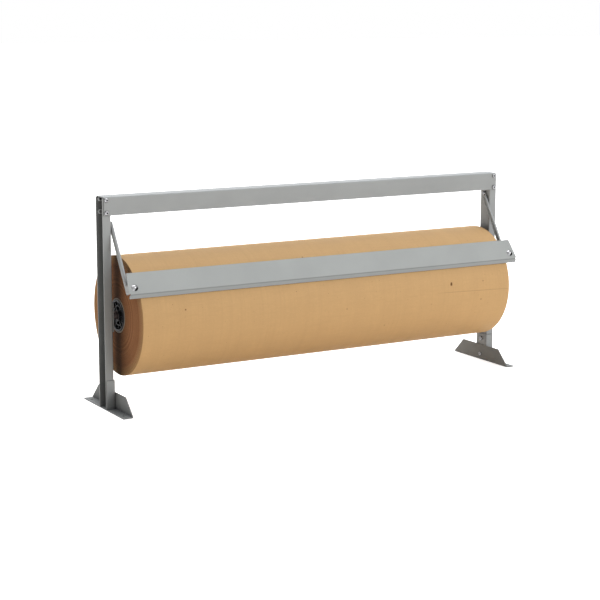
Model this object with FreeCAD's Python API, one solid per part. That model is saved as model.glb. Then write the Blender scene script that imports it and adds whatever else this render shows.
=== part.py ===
"""Bench stand for a gift wrap paper roll, with a swinging cutter bar.

Millimetres. +X runs along the roll, -Y is the user's side, +Z is up. The origin lies on the bench,
midway between the four fixing holes of the two feet.
"""
import FreeCAD, Part
import math
import os

Vector = FreeCAD.Vector

# Paper roll, its core and the end plugs that it turns on
ROLL_WIDTH = 1000.0
ROLL_DIAMETER = 274.0
CORE_BORE = 70.0
CORE_WALL = 5.0
PLUG_DEPTH = 40.0
PLUG_WALL = 3.0
PLUG_RIM_WIDTH = 1.6
PLUG_RIM_THICKNESS = 1.5
PLUG_HUB_DIAMETER = 26.0
PLUG_RING_DIAMETER = 46.0
PLUG_RIB = 2.0
PLUG_RECESS = 2.5
OUTER_RIBS = 12
INNER_RIBS = 6

# Shaft, its clips and the open hooks that carry it
SHAFT_DIAMETER = 16.0
SHAFT_HEIGHT = 212.0
SHAFT_END_PLAY = 0.5
SHAFT_CHAMFER = 1.0
CLIP_THICKNESS = 1.2
CLIP_RADIAL = 3.5
CLIP_GROOVE = 0.4
CLIP_OPENING_ANGLE = 70.0
CLIP_SIDE_GAP = 0.5
HOLDER_THICKNESS = 4.0
HOLDER_WALL = 10.0
HOLDER_FOOT = 24.0
HOLDER_HEAD = 24.0
HOLDER_LIP = 18.0
HOLDER_CORNER = 3.0
SLOT_ANGLE = 45.0

# Frame: two upright channels, a top rail over them and a foot under each
END_GAP = 20.0
OVERALL_HEIGHT = 485.0
SHEET = 2.0
BEND_INSIDE = 1.0
UPRIGHT_DEPTH = 38.0
UPRIGHT_FLANGE = 20.0
RAIL_HEIGHT = 42.0
RAIL_INSET = 3.0
RAIL_SCREW_INSET = 6.0
RAIL_SCREW_TOP = 7.5
RAIL_SCREW_BOTTOM = 6.0
SOCKET_HEIGHT = 66.0
SOCKET_FLANGE_STEP = 1.0
SOCKET_BOLT_DROP = 12.0
FOOT_LENGTH = 226.0
FOOT_TOP_LENGTH = 150.0
FOOT_HEIGHT = 40.0
FOOT_CORNER = 3.0
FOOT_BOLT_HEIGHT = 15.0
BENCH_HOLE_DISTANCE = 180.0
BENCH_HOLE_INSET = 11.0
BENCH_HOLE_DIAMETER = 7.0

# Cutter: two arms that hang from the uprights and the bar that lies on the roll
PIVOT_DROP = 11.0
ARM_WIDTH = 11.0
ARM_FLANGE = 6.0
ARM_SHEET = 1.5
ARM_END_BEHIND_BAR = 29.5
ARM_END_BELOW_BOLT = 2.0
ARM_FLANGE_START = 8.0
ARM_RELIEF = 2.0
TAB_WIDTH = 16.0
TAB_ABOVE = 10.5
TAB_BELOW = 11.5
LUG_ABOVE = 4.0
BAR_ANGLE = 33.5
BAR_SHEET = 2.0
BAR_FACE = 51.0
BAR_BELOW_TANGENT = 12.0
BAR_LIP = 11.0
LIP_ANGLE = 45.0
BAR_BEND_INSIDE = 1.5
BAR_TOP_OVERHANG = 1.5
BAR_END_SLANT = 5.5
NOTCH_DEPTH = 3.5
NOTCH_HEIGHT = 3.0
LIP_INSET = 1.5
BAR_CORNER = 2.0
BAR_BOLT_ABOVE_BEND = 15.0
BAR_BOLT_INSET = 8.0

# Fasteners: (shank diameter, head diameter, head height, key size, key depth)
M6_BUTTON = (6.0, 10.5, 3.3, 4.0, 2.0)
M5_BUTTON = (5.0, 9.5, 2.75, 3.0, 1.5)
M6_NUT = (10.0, 5.0)
M5_NUT = (8.0, 4.0)
PIVOT_WASHER_DIAMETER = 12.0
PIVOT_WASHER_THICKNESS = 1.0
DOME_HEAD_DIAMETER = 16.0
DOME_HEAD_HEIGHT = 3.9
SQUARE_NECK = 6.0
THREAD_PROUD = 2.0

# Clearances
SLIP_FIT = 0.2
RUNNING_FIT = 0.05
SCREW_HOLE_FIT = 0.2
HOOK_FIT = 0.3
LIP_REST_GAP = 0.5
SIDE_PLAY = 0.15
PLUG_FIT = 0.1
WRAP_FIT = 0.1

# Places that follow from the sizes above
ROLL_RADIUS = ROLL_DIAMETER / 2
ROLL_END = ROLL_WIDTH / 2
SHAFT_RADIUS = SHAFT_DIAMETER / 2
WEB_FACE = ROLL_END + END_GAP
WEB_BACK = WEB_FACE + SHEET
FLANGE_TIP = WEB_FACE + UPRIGHT_FLANGE
BEND_OUTSIDE = BEND_INSIDE + SHEET
SOCKET_FACE = WEB_FACE - SHEET
FOOT_FACE = SOCKET_FACE - SHEET
NEST_DEPTH = UPRIGHT_DEPTH + 2 * (SLIP_FIT + SHEET)
RAIL_END = FLANGE_TIP - RAIL_INSET
RAIL_BOTTOM = OVERALL_HEIGHT - RAIL_HEIGHT
UPRIGHT_TOP = OVERALL_HEIGHT - SHEET - BEND_INSIDE
SOCKET_TOP = SHEET + SOCKET_HEIGHT
PIVOT_HEIGHT = RAIL_BOTTOM - PIVOT_DROP
ARM_FACE = WEB_FACE - PIVOT_WASHER_THICKNESS - SIDE_PLAY
ARM_BACK = ARM_FACE - ARM_SHEET
AXIS = Vector(0, 0, SHAFT_HEIGHT)
PIVOT = Vector(0, 0, PIVOT_HEIGHT)
X_AXIS = Vector(1, 0, 0)
Y_AXIS = Vector(0, 1, 0)
Z_AXIS = Vector(0, 0, 1)
SIDES = (("left", -1), ("right", 1))
BAR_DOWN = Vector(0, -math.sin(math.radians(BAR_ANGLE)), -math.cos(math.radians(BAR_ANGLE)))
BAR_OUT = X_AXIS.cross(BAR_DOWN) * -1


def bar_front_distance():
    """Distance from the shaft to the bar's front plane that leaves the lip its rest gap over the roll."""
    bend = math.radians(LIP_ANGLE)
    along = BAR_BELOW_TANGENT + BAR_LIP * math.cos(bend) - BAR_SHEET * math.sin(bend)
    behind = BAR_LIP * math.sin(bend) + BAR_SHEET * math.cos(bend)
    reach = ROLL_RADIUS + LIP_REST_GAP
    return behind + math.sqrt(reach ** 2 - along ** 2)


BAR_ORIGIN = AXIS + BAR_OUT * bar_front_distance()
BAR_BOLT = BAR_ORIGIN + BAR_DOWN * (BAR_BELOW_TANGENT - BAR_BOLT_ABOVE_BEND)
BAR_BOLT_X = ARM_FACE - BAR_BOLT_INSET
ARM_END = BAR_BOLT + BAR_DOWN * ARM_END_BELOW_BOLT - BAR_OUT * ARM_END_BEHIND_BAR
ARM_LENGTH = (ARM_END - PIVOT).Length
ARM_DOWN = (ARM_END - PIVOT).normalize()
ARM_OUT = X_AXIS.cross(ARM_DOWN) * -1


def frame_of(origin, u_axis, v_axis):
    """Function that puts a 2D point on the plane through origin with the two given directions."""
    def place(u, v):
        return origin + u_axis * u + v_axis * v
    return place


def rounded_face(corners, place):
    """Face with the given (u, v, radius) corners, each rounded by its radius."""
    tangents = []
    count = len(corners)
    for index, (u, v, radius) in enumerate(corners):
        here = Vector(u, v, 0)
        back = Vector(*corners[index - 1][:2], 0) - here
        ahead = Vector(*corners[(index + 1) % count][:2], 0) - here
        back.normalize()
        ahead.normalize()
        half = back.getAngle(ahead) / 2
        run = radius / math.tan(half)
        middle = back + ahead
        if radius:
            middle.normalize()
        centre = here + middle * (radius / math.sin(half))
        crown = centre - middle * radius
        tangents.append((here + back * run, crown, here + ahead * run, radius))
    edges = []
    for index, (start, crown, end, radius) in enumerate(tangents):
        points = [place(point.x, point.y) for point in (start, crown, end)]
        if radius:
            edges.append(Part.Arc(*points).toShape())
        following = tangents[(index + 1) % count][0]
        edges.append(Part.makeLine(points[2], place(following.x, following.y)))
    return Part.Face(Part.Wire(edges))


def prism(corners, place, extrusion):
    """Solid made by extruding a rounded face."""
    return rounded_face(corners, place).extrude(extrusion)


def rod(centre, axis, radius, start, end):
    """Cylinder about the line through centre along axis, between two distances along it."""
    return Part.makeCylinder(radius, end - start, centre + axis * start, axis)


def tube(centre, axis, outer, inner, start, end):
    """Ring between two radii."""
    return rod(centre, axis, outer, start, end).cut(rod(centre, axis, inner, start - 1, end + 1))


def hexagon(centre, axis, across_flats, start, end):
    """Hexagonal prism about axis, with a corner level with it on each side."""
    side = axis.cross(Z_AXIS if abs(axis.z) < 0.9 else X_AXIS)
    side.normalize()
    other = axis.cross(side)
    reach = across_flats / math.sqrt(3)
    corners = []
    for step in range(6):
        turn = math.radians(60 * step)
        corners.append((reach * math.cos(turn), reach * math.sin(turn), 0))
    place = frame_of(centre + axis * start, side, other)
    return prism(corners, place, axis * (end - start))


def fuse(shapes):
    """Single solid from overlapping or touching ones."""
    return shapes[0].multiFuse(shapes[1:]).removeSplitter()


def mirrored(shape):
    """The same shape on the other side of the middle plane."""
    return shape.mirror(Vector(0, 0, 0), X_AXIS)


def on_side(shape, side):
    """Shape drawn for the +X side, moved to the side asked for."""
    return shape if side > 0 else mirrored(shape)


def both_sides(shapes):
    """The given +X shapes together with their mirror images."""
    return list(shapes) + [mirrored(shape) for shape in shapes]


def channel_corners(width, flange, sheet, inside):
    """U section: web along v at u = 0, flanges towards +u."""
    half = width / 2
    outside = inside + sheet
    return [
        (0, -half, outside),
        (flange, -half, 0),
        (flange, -half + sheet, 0),
        (sheet, -half + sheet, inside),
        (sheet, half - sheet, inside),
        (flange, half - sheet, 0),
        (flange, half, 0),
        (0, half, outside),
    ]


def button_screw(seat, axis, grip, size):
    """Button head screw with a hexagon socket; its head stands on seat and its shank runs along -axis."""
    shank, head, height, key, depth = size
    shank_radius = shank / 2
    head_radius = head / 2
    edge = height * 0.2
    side = axis.cross(Z_AXIS if abs(axis.z) < 0.9 else X_AXIS)
    side.normalize()
    place = frame_of(seat, side, axis)
    rim = place(head_radius, edge)
    top = place(key * 0.62, height)
    bulge = place(head_radius * 0.86, height * 0.72)
    edges = [
        Part.makeLine(place(0, 0), place(head_radius, 0)),
        Part.makeLine(place(head_radius, 0), rim),
        Part.Arc(rim, bulge, top).toShape(),
        Part.makeLine(top, place(0, height)),
        Part.makeLine(place(0, height), place(0, 0)),
    ]
    dome = Part.Face(Part.Wire(edges)).revolve(seat, axis, 360)
    dome = dome.cut(hexagon(seat, axis, key, height - depth, height + 1))
    return fuse([dome, rod(seat, axis, shank_radius, -grip, 0)])


def nut(seat, axis, shank, size):
    """Hexagon nut that stands on seat and rises along axis."""
    across, height = size
    blank = hexagon(seat, axis, across, 0, height)
    return blank.cut(rod(seat, axis, shank / 2 + RUNNING_FIT, -1, height + 1))


def screw_hole(seat, axis, shank, depth):
    """Cutter for a clearance hole from seat along -axis."""
    return rod(seat, axis, shank / 2 + SCREW_HOLE_FIT, -depth, 1)


def rail_screw_seats():
    """Seats of the right end's four rail screws, each with the direction its head faces."""
    across = RAIL_END - RAIL_SCREW_INSET
    heights = (OVERALL_HEIGHT - RAIL_SCREW_TOP, RAIL_BOTTOM + RAIL_SCREW_BOTTOM)
    seats = []
    for facing in (-1, 1):
        for height in heights:
            seats.append((Vector(across, facing * NEST_DEPTH / 2, height), Y_AXIS * facing))
    return seats


RAIL_STACK = 2 * SHEET + SLIP_FIT
FOOT_STACK = 3 * SHEET
SOCKET_STACK = 2 * SHEET
HOLDER_STACK = HOLDER_THICKNESS + SHEET
FOOT_BOLT_SEAT = Vector(FOOT_FACE, 0, FOOT_BOLT_HEIGHT)
SOCKET_BOLT_SEAT = Vector(SOCKET_FACE, 0, SOCKET_TOP - SOCKET_BOLT_DROP)
PIVOT_HEAD_X = ARM_BACK - SIDE_PLAY


def slot_radius():
    """Half the width of the hook's slot."""
    return SHAFT_RADIUS + HOOK_FIT


def holder_screw_seats():
    """Seats of one hook's two screws."""
    face = WEB_FACE - HOLDER_THICKNESS
    low = SHAFT_HEIGHT - HOLDER_FOOT
    high = SHAFT_HEIGHT + HOLDER_HEAD
    return [Vector(face, 0, low), Vector(face, -UPRIGHT_DEPTH / 5, high)]


def make_top_rail():
    """Inverted channel that caps both uprights."""
    section = channel_corners(NEST_DEPTH, RAIL_HEIGHT, SHEET, BEND_INSIDE)
    place = frame_of(Vector(-RAIL_END, 0, OVERALL_HEIGHT), Z_AXIS * -1, Y_AXIS)
    rail = prism(section, place, X_AXIS * (2 * RAIL_END))
    holes = [screw_hole(seat, out, M6_BUTTON[0], SHEET + 1) for seat, out in rail_screw_seats()]
    return rail.cut(Part.makeCompound(both_sides(holes)))


def make_upright():
    """Right upright: channel with its web to the roll, standing on the foot's flange."""
    section = channel_corners(UPRIGHT_DEPTH, UPRIGHT_FLANGE, SHEET, BEND_INSIDE)
    place = frame_of(Vector(WEB_FACE, 0, SHEET), X_AXIS, Y_AXIS)
    upright = prism(section, place, Z_AXIS * (UPRIGHT_TOP - SHEET))
    holes = [screw_hole(seat, out, M6_BUTTON[0], RAIL_STACK + 1) for seat, out in rail_screw_seats()]
    inward = X_AXIS * -1
    for seat in holder_screw_seats():
        holes.append(screw_hole(seat, inward, M6_BUTTON[0], HOLDER_STACK + 1))
    holes.append(screw_hole(FOOT_BOLT_SEAT, inward, M6_BUTTON[0], FOOT_STACK + 1))
    holes.append(screw_hole(SOCKET_BOLT_SEAT, inward, M6_BUTTON[0], SOCKET_STACK + 1))
    holes.append(screw_hole(Vector(WEB_FACE, 0, PIVOT_HEIGHT), inward, M5_BUTTON[0], SHEET + 1))
    return upright.cut(Part.makeCompound(holes))


def make_foot_socket():
    """Right socket: short channel that wraps the foot of the upright."""
    flange = SHEET + UPRIGHT_FLANGE - SOCKET_FLANGE_STEP
    section = channel_corners(NEST_DEPTH, flange, SHEET, BEND_INSIDE)
    place = frame_of(Vector(SOCKET_FACE, 0, SHEET), X_AXIS, Y_AXIS)
    socket = prism(section, place, Z_AXIS * SOCKET_HEIGHT)
    relief = BEND_INSIDE + SLIP_FIT
    corner = Vector(SOCKET_FACE - 1, -NEST_DEPTH, SHEET - 1)
    socket = socket.cut(Part.makeBox(1 + relief, 2 * NEST_DEPTH, 1 + relief, corner))
    inward = X_AXIS * -1
    lower = screw_hole(FOOT_BOLT_SEAT, inward, M6_BUTTON[0], FOOT_STACK + 1)
    upper = screw_hole(SOCKET_BOLT_SEAT, inward, M6_BUTTON[0], SOCKET_STACK + 1)
    return socket.cut(Part.makeCompound([lower, upper]))


def make_foot_plate():
    """Right foot: upright trapezoid bent at its lower edge into a flange that points outwards."""
    half = FOOT_LENGTH / 2
    section = [
        (FOOT_FACE, 0, BEND_OUTSIDE),
        (FLANGE_TIP, 0, 0),
        (FLANGE_TIP, SHEET, 0),
        (FOOT_FACE + SHEET, SHEET, BEND_INSIDE),
        (FOOT_FACE + SHEET, FOOT_HEIGHT, 0),
        (FOOT_FACE, FOOT_HEIGHT, 0),
    ]
    bent = prism(section, frame_of(Vector(0, -half, 0), X_AXIS, Z_AXIS), Y_AXIS * FOOT_LENGTH)
    half_top = FOOT_TOP_LENGTH / 2
    side_view = [
        (-half, -1, 0),
        (half, -1, 0),
        (half, BEND_OUTSIDE, 0),
        (half_top, FOOT_HEIGHT, FOOT_CORNER),
        (-half_top, FOOT_HEIGHT, FOOT_CORNER),
        (-half, BEND_OUTSIDE, 0),
    ]
    width = FLANGE_TIP - FOOT_FACE
    outline = prism(side_view, frame_of(Vector(FOOT_FACE - 1, 0, 0), Y_AXIS, Z_AXIS), X_AXIS * (width + 2))
    plan = [
        (FOOT_FACE - 1, -half, 0),
        (FLANGE_TIP, -half, FOOT_CORNER),
        (FLANGE_TIP, half, FOOT_CORNER),
        (FOOT_FACE - 1, half, 0),
    ]
    footprint = prism(plan, frame_of(Vector(0, 0, -1), X_AXIS, Y_AXIS), Z_AXIS * (FOOT_HEIGHT + 2))
    foot = bent.common(outline).common(footprint)
    holes = [screw_hole(FOOT_BOLT_SEAT, X_AXIS * -1, M6_BUTTON[0], SHEET + 1)]
    for facing in (-1, 1):
        centre = Vector(FLANGE_TIP - BENCH_HOLE_INSET, facing * BENCH_HOLE_DISTANCE / 2, 0)
        holes.append(rod(centre, Z_AXIS, BENCH_HOLE_DIAMETER / 2, -1, SHEET + 1))
    return foot.cut(Part.makeCompound(holes))


def make_shaft_holder():
    """Right hook: plate with a slot that rises to the back, so that the pull of the paper seats the shaft."""
    radius = slot_radius()
    front = UPRIGHT_DEPTH / 2 - SHEET - BEND_INSIDE
    rear = radius * math.sqrt(2) + HOLDER_LIP
    foot = SHAFT_HEIGHT - HOLDER_FOOT - HOLDER_WALL
    head = SHAFT_HEIGHT + HOLDER_HEAD + HOLDER_WALL
    lip = SHAFT_HEIGHT - radius * math.sqrt(2) + rear
    outline = [
        (-front, foot, HOLDER_CORNER),
        (HOLDER_WALL, foot, HOLDER_CORNER),
        (rear, foot + rear - HOLDER_WALL, HOLDER_CORNER),
        (rear, lip + HOLDER_CORNER, HOLDER_CORNER / 2),
        (HOLDER_CORNER, head, HOLDER_CORNER),
        (-front, head, HOLDER_CORNER),
    ]
    place = frame_of(Vector(WEB_FACE - HOLDER_THICKNESS, 0, 0), Y_AXIS, Z_AXIS)
    plate = prism(outline, place, X_AXIS * HOLDER_THICKNESS)
    rise = Vector(0, math.cos(math.radians(SLOT_ANGLE)), math.sin(math.radians(SLOT_ANGLE)))
    across = Vector(0, -rise.z, rise.y)
    reach = 2 * (HOLDER_FOOT + HOLDER_HEAD)
    slot_place = frame_of(AXIS + X_AXIS * (WEB_FACE - 2 * HOLDER_THICKNESS), rise, across)
    slot = [(0, -radius, 0), (reach, -radius, 0), (reach, radius, 0), (0, radius, 0)]
    depth = X_AXIS * (3 * HOLDER_THICKNESS)
    cutters = [prism(slot, slot_place, depth), rod(AXIS, X_AXIS, radius, WEB_FACE - 2 * HOLDER_THICKNESS, WEB_FACE + 1)]
    for seat in holder_screw_seats():
        cutters.append(screw_hole(seat, X_AXIS * -1, M6_BUTTON[0], HOLDER_THICKNESS + 1))
    return plate.cut(Part.makeCompound(cutters))


def make_core_shaft():
    """Steel bar with chamfered ends and a groove for each clip."""
    end = WEB_FACE - SHAFT_END_PLAY
    bar = rod(AXIS, X_AXIS, SHAFT_RADIUS, -end, end)
    ends = [edge for edge in bar.Edges if abs(abs(edge.CenterOfMass.x) - end) < 0.01]
    bar = bar.makeChamfer(SHAFT_CHAMFER, ends)
    start, stop = clip_span()
    groove = tube(AXIS, X_AXIS, SHAFT_RADIUS + 1, SHAFT_RADIUS - CLIP_GROOVE, start, stop)
    return bar.cut(Part.makeCompound(both_sides([groove])))


def clip_span():
    """Where the right clip starts and ends along the shaft."""
    start = ROLL_END + PLUG_RIM_THICKNESS + CLIP_SIDE_GAP
    return start, start + CLIP_THICKNESS


def make_clip():
    """Right retaining clip: a ring with an opening and two ears."""
    start, stop = clip_span()
    inner = SHAFT_RADIUS - CLIP_GROOVE + RUNNING_FIT
    outer = SHAFT_RADIUS + CLIP_RADIAL
    ring = tube(AXIS, X_AXIS, outer, inner, start, stop)
    half = math.radians(CLIP_OPENING_ANGLE / 2)
    reach = 2 * outer
    wedge = [
        (0, 0, 0),
        (reach * math.sin(half), -reach * math.cos(half), 0),
        (-reach * math.sin(half), -reach * math.cos(half), 0),
    ]
    place = frame_of(AXIS + X_AXIS * (start - 1), Y_AXIS, Z_AXIS)
    ring = ring.cut(prism(wedge, place, X_AXIS * (CLIP_THICKNESS + 2)))
    ears = []
    middle = SHAFT_RADIUS + CLIP_RADIAL / 2
    turn = half + math.asin(CLIP_RADIAL / 2 / middle)
    for facing in (-1, 1):
        centre = AXIS + Vector(0, facing * middle * math.sin(turn), -middle * math.cos(turn))
        ears.append(rod(centre, X_AXIS, CLIP_RADIAL / 2, start, stop))
    return fuse([ring] + ears)


def radial_ribs(count, inner, outer, start, stop):
    """Flat ribs that run out from the shaft's axis between two radii."""
    ribs = []
    for step in range(count):
        turn = 2 * math.pi * step / count
        out = Vector(0, math.cos(turn), math.sin(turn))
        place = frame_of(AXIS + X_AXIS * start, out, X_AXIS.cross(out))
        half = PLUG_RIB / 2
        corners = [(inner, -half, 0), (outer, -half, 0), (outer, half, 0), (inner, half, 0)]
        ribs.append(prism(corners, place, X_AXIS * (stop - start)))
    return ribs


def make_core_plug():
    """Right end plug: moulded sleeve, ring and hub joined by two rows of ribs, with a rim on the core's end."""
    inner_end = ROLL_END - PLUG_DEPTH
    outer_end = ROLL_END + PLUG_RIM_THICKNESS
    sleeve_outer = CORE_BORE / 2 - PLUG_FIT
    sleeve_inner = sleeve_outer - PLUG_WALL
    rim = CORE_BORE / 2 + PLUG_RIM_WIDTH
    ring = PLUG_RING_DIAMETER / 2
    hub = PLUG_HUB_DIAMETER / 2
    bore = SHAFT_RADIUS + RUNNING_FIT
    overlap = PLUG_RIB / 2
    rib_start = inner_end + PLUG_RECESS
    rib_stop = outer_end - PLUG_RECESS
    pieces = [
        tube(AXIS, X_AXIS, sleeve_outer, sleeve_inner, inner_end, outer_end),
        tube(AXIS, X_AXIS, rim, sleeve_inner, ROLL_END, outer_end),
        tube(AXIS, X_AXIS, ring, ring - PLUG_RIB, rib_start, rib_stop),
        tube(AXIS, X_AXIS, hub, bore, inner_end, outer_end),
    ]
    pieces += radial_ribs(OUTER_RIBS, ring - overlap, sleeve_inner + overlap, rib_start, rib_stop)
    pieces += radial_ribs(INNER_RIBS, hub - overlap, ring - overlap, rib_start, rib_stop)
    return fuse(pieces)


def make_cardboard_core():
    """Cardboard tube that the paper is wound on."""
    outer = CORE_BORE / 2 + CORE_WALL
    return tube(AXIS, X_AXIS, outer, CORE_BORE / 2, -ROLL_END, ROLL_END)


def make_paper_roll():
    """Wound paper."""
    inner = CORE_BORE / 2 + CORE_WALL + WRAP_FIT
    return tube(AXIS, X_AXIS, ROLL_RADIUS, inner, -ROLL_END, ROLL_END)


def make_cutter_arm():
    """Right arm: channel with an eye at the pivot and a lug whose bent tab backs the bar."""
    half = ARM_WIDTH / 2
    bend_outside = BEND_INSIDE + ARM_SHEET
    inward = X_AXIS * -1
    face = PIVOT + X_AXIS * ARM_FACE
    place = frame_of(face + ARM_DOWN * ARM_FLANGE_START, inward, ARM_OUT)
    section = channel_corners(ARM_WIDTH, ARM_FLANGE, ARM_SHEET, BEND_INSIDE)
    channel = prism(section, place, ARM_DOWN * (ARM_LENGTH - ARM_FLANGE_START))

    tab_place = frame_of(BAR_BOLT - BAR_DOWN * TAB_ABOVE, X_AXIS, BAR_OUT)
    tab_section = [
        (ARM_FACE, -BAR_SHEET, bend_outside),
        (ARM_FACE - TAB_WIDTH, -BAR_SHEET, 0),
        (ARM_FACE - TAB_WIDTH, -BAR_SHEET - ARM_SHEET, 0),
        (ARM_BACK, -BAR_SHEET - ARM_SHEET, BEND_INSIDE),
        (ARM_BACK, -BAR_SHEET - 2 * bend_outside, 0),
        (ARM_FACE, -BAR_SHEET - 2 * bend_outside, 0),
    ]
    tab = prism(tab_section, tab_place, BAR_DOWN * (TAB_ABOVE + TAB_BELOW))

    seat = BAR_BOLT - BAR_OUT * (BAR_SHEET + bend_outside + ARM_SHEET)
    lug_top = seat - BAR_DOWN * TAB_ABOVE
    lug_bottom = seat + BAR_DOWN * TAB_BELOW
    top_along = (lug_top - PIVOT).dot(ARM_DOWN)
    flange_stop = top_along - LUG_ABOVE
    corners = [
        (flange_stop, 0, 0),
        (flange_stop, half, 0),
        (top_along, (lug_top - PIVOT).dot(ARM_OUT), 0),
        ((lug_bottom - PIVOT).dot(ARM_DOWN), (lug_bottom - PIVOT).dot(ARM_OUT), 0),
        (ARM_LENGTH, -half + bend_outside, 0),
        (flange_stop, -half + bend_outside, 0),
    ]
    lug = prism(corners, frame_of(face, ARM_DOWN, ARM_OUT), inward * ARM_SHEET)

    relief = [
        (flange_stop - ARM_RELIEF, half - bend_outside, 0),
        (ARM_LENGTH + 1, half - bend_outside, 0),
        (ARM_LENGTH + 1, half + 1, 0),
        (flange_stop - ARM_RELIEF, half + 1, 0),
    ]
    relief_place = frame_of(face + X_AXIS, ARM_DOWN, ARM_OUT)
    channel = channel.cut(prism(relief, relief_place, inward * (ARM_FLANGE + 2)))

    neck = [
        (0, -half, 0),
        (ARM_FLANGE_START, -half, 0),
        (ARM_FLANGE_START, half, 0),
        (0, half, 0),
    ]
    eye = [
        prism(neck, frame_of(face, ARM_DOWN, ARM_OUT), inward * ARM_SHEET),
        rod(PIVOT, X_AXIS, half, ARM_BACK, ARM_FACE),
    ]
    arm = fuse([channel, lug, tab] + eye)
    pivot_hole = rod(PIVOT, X_AXIS, M5_BUTTON[0] / 2 + RUNNING_FIT, ARM_BACK - 1, ARM_FACE + 1)
    return arm.cut(pivot_hole).cut(neck_cutter())


def neck_cutter():
    """Square hole for the right dome bolt, through the bar and the tab."""
    half = SQUARE_NECK / 2 + SCREW_HOLE_FIT
    place = frame_of(BAR_BOLT + X_AXIS * BAR_BOLT_X + BAR_OUT, X_AXIS, BAR_DOWN)
    corners = [(-half, -half, 0), (half, -half, 0), (half, half, 0), (-half, half, 0)]
    return prism(corners, place, BAR_OUT * -(1 + BAR_SHEET + 2 * ARM_SHEET))


def make_cutter_bar():
    """Long strip with a lip bent in to the roll, notched at both ends of the bend."""
    top = BAR_BELOW_TANGENT - BAR_FACE
    bend = math.radians(LIP_ANGLE)
    tip = BAR_BELOW_TANGENT + BAR_LIP * math.cos(bend)
    tip_depth = BAR_LIP * math.sin(bend)
    inner_bend = BAR_BELOW_TANGENT - BAR_SHEET * math.tan(bend / 2)
    section = [
        (top, 0, 0),
        (BAR_BELOW_TANGENT, 0, BAR_BEND_INSIDE + BAR_SHEET),
        (tip, -tip_depth, 0),
        (tip - BAR_SHEET * math.sin(bend), -tip_depth - BAR_SHEET * math.cos(bend), 0),
        (inner_bend, -BAR_SHEET, BAR_BEND_INSIDE),
        (top, -BAR_SHEET, 0),
    ]
    top_end = WEB_FACE + BAR_TOP_OVERHANG
    bend_end = top_end + BAR_END_SLANT
    place = frame_of(BAR_ORIGIN - X_AXIS * bend_end, BAR_DOWN, BAR_OUT)
    strip = prism(section, place, X_AXIS * (2 * bend_end))

    notch_top = BAR_BELOW_TANGENT - NOTCH_HEIGHT / 2
    notch_bottom = BAR_BELOW_TANGENT + NOTCH_HEIGHT / 2
    right_end = [
        (top_end, top, BAR_CORNER),
        (bend_end, notch_top, 0),
        (bend_end - NOTCH_DEPTH, notch_top, 0),
        (bend_end - NOTCH_DEPTH, notch_bottom, 0),
        (bend_end - LIP_INSET, notch_bottom, 0),
        (bend_end - LIP_INSET, tip + 1, 0),
    ]
    left_end = [(-x, along, radius) for x, along, radius in reversed(right_end)]
    front_view = right_end + left_end
    thickness = tip_depth + 2 * BAR_SHEET
    blank = prism(front_view, frame_of(BAR_ORIGIN + BAR_OUT, X_AXIS, BAR_DOWN), BAR_OUT * -(1 + thickness))
    bar = strip.common(blank)
    return bar.cut(Part.makeCompound(both_sides([neck_cutter()])))


def make_dome_bolt():
    """Right bar bolt: domed head, square neck and round shank."""
    seat = BAR_BOLT + X_AXIS * BAR_BOLT_X
    radius = DOME_HEAD_DIAMETER / 2
    ball_radius = (radius ** 2 + DOME_HEAD_HEIGHT ** 2) / (2 * DOME_HEAD_HEIGHT)
    ball = Part.makeSphere(ball_radius, seat + BAR_OUT * (DOME_HEAD_HEIGHT - ball_radius))
    dome = ball.common(rod(seat, BAR_OUT, radius + 1, 0, DOME_HEAD_HEIGHT + 1))
    neck_length = BAR_SHEET + ARM_SHEET
    half = SQUARE_NECK / 2
    corners = [(-half, -half, 0), (half, -half, 0), (half, half, 0), (-half, half, 0)]
    neck = prism(corners, frame_of(seat, X_AXIS, BAR_DOWN), BAR_OUT * -neck_length)
    length = neck_length + M6_NUT[1] + THREAD_PROUD
    return fuse([dome, neck, rod(seat, BAR_OUT, M6_BUTTON[0] / 2, -length, 0)])


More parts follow.
